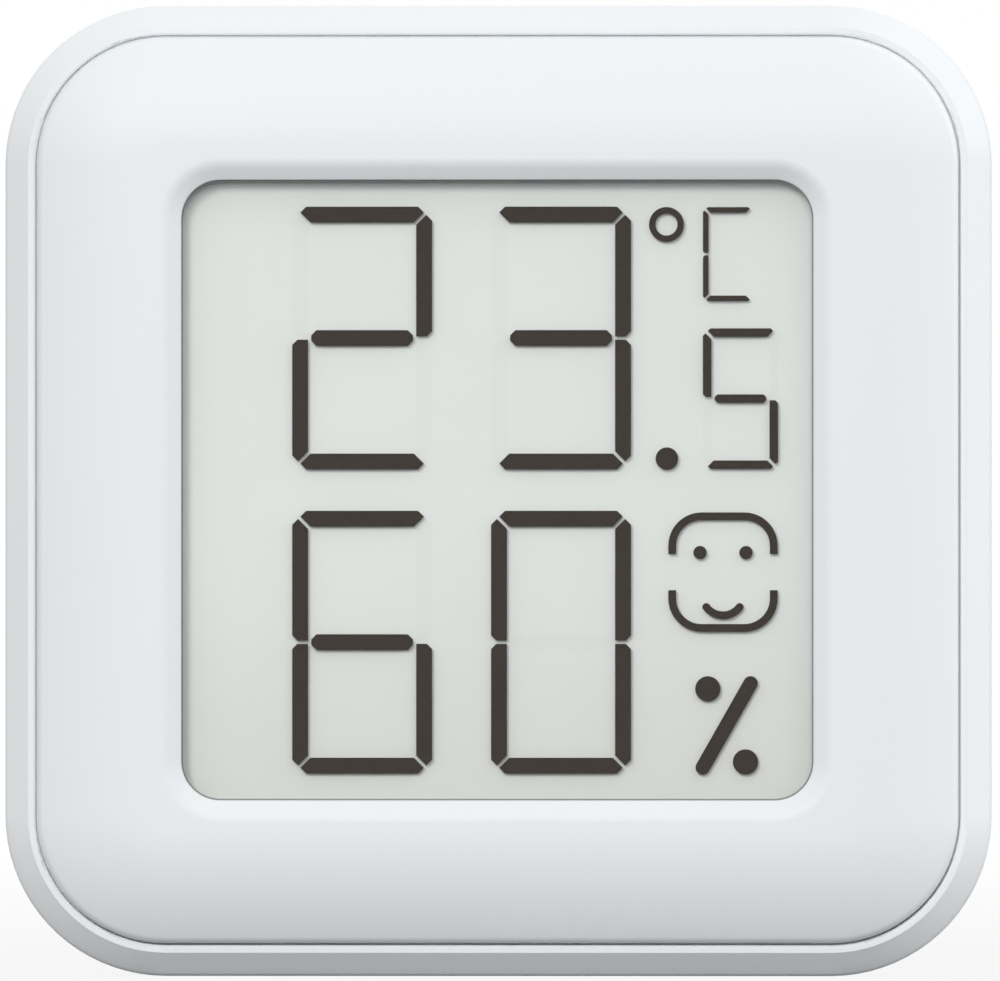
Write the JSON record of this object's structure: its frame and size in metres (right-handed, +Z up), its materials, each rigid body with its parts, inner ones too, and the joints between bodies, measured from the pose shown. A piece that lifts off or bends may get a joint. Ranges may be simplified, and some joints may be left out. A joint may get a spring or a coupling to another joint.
{
  "type": "temperature and humidity sensor",
  "caption": "Small square thermometer and hygrometer with a pillow-shaped face, segment display, fold-out stand, wall hole, coin cell behind a turn-to-open door and a unit button.",
  "frame": {"origin": "middle of the lower edge: the centre of the bounding box, at its bottom", "axes": "+X to the right as the face is seen, +Y out of the back (the face looks along -Y), +Z up"},
  "size_m": [0.043, 0.0126, 0.0424],
  "materials": {
    "case_plastic": "fine satin moulding",
    "display_film": "clear film",
    "display_glass": "clear",
    "display_segments": "dark liquid crystal",
    "display_reflector": "fine-grained grey-green",
    "display_seal": "cured adhesive",
    "grey_foam": "closed-cell foam",
    "dark_foam": "closed-cell foam",
    "elastomer": "layered silicone",
    "board": "solder mask",
    "epoxy": "cast epoxy",
    "switch_plastic": "moulded",
    "plunger_plastic": "moulded",
    "sensor_ceramic": "fired",
    "chip_ceramic": "fired",
    "resistor_ceramic": "glazed black",
    "steel": "bright",
    "cell_seal": "moulded",
    "cell_mass": "pressed powder"
  },
  "bodies": {
    "case": {"front_cover": "case_plastic", "rear_shell": "case_plastic", "lcd_gasket": "grey_foam", "lcd_polarizer": "display_film", "lcd_front_glass": "display_glass", "lcd_segments": "display_segments", "lcd_seal": "display_seal", "lcd_rear_glass": "display_glass", "lcd_reflector": "display_reflector", "elastomer_connector": "elastomer", "foam_strip": "dark_foam", "circuit_board": "board", "board_screws": "steel", "controller_cap": "epoxy", "crystal": "steel", "humidity_sensor": "sensor_ceramic", "sensor_leads": "steel", "thermistor": "epoxy", "chip_resistors": "resistor_ceramic", "chip_capacitors": "chip_ceramic", "switch_body": "switch_plastic", "contact_positive": "steel", "contact_negative": "steel", "cell_can": "steel", "cell_gasket": "cell_seal", "cell_core": "cell_mass", "cell_cap": "steel"},
    "stand": {"stand": "case_plastic"},
    "battery_door": {"battery_door": "case_plastic"},
    "unit_button": {"unit_button": "case_plastic", "switch_plunger": "plunger_plastic"}
  },
  "joints": [
    {"name": "stand_hinge", "type": "hinge", "parent": "case", "child": "stand", "pos_m": [0, 0.00495, 0.02318], "axis": [1, 0, 0], "range_deg": [0, 45]},
    {"name": "door_turn", "type": "hinge", "parent": "case", "child": "battery_door", "pos_m": [0, 0.005, 0.01908], "axis": [0, 1, 0], "range_deg": [0, 40]},
    {"name": "button_press", "type": "slide", "parent": "case", "child": "unit_button", "axis": [0, -1, 0], "range_m": [0, 0.0003], "stiffness_N_per_m": 4000}
  ]
}
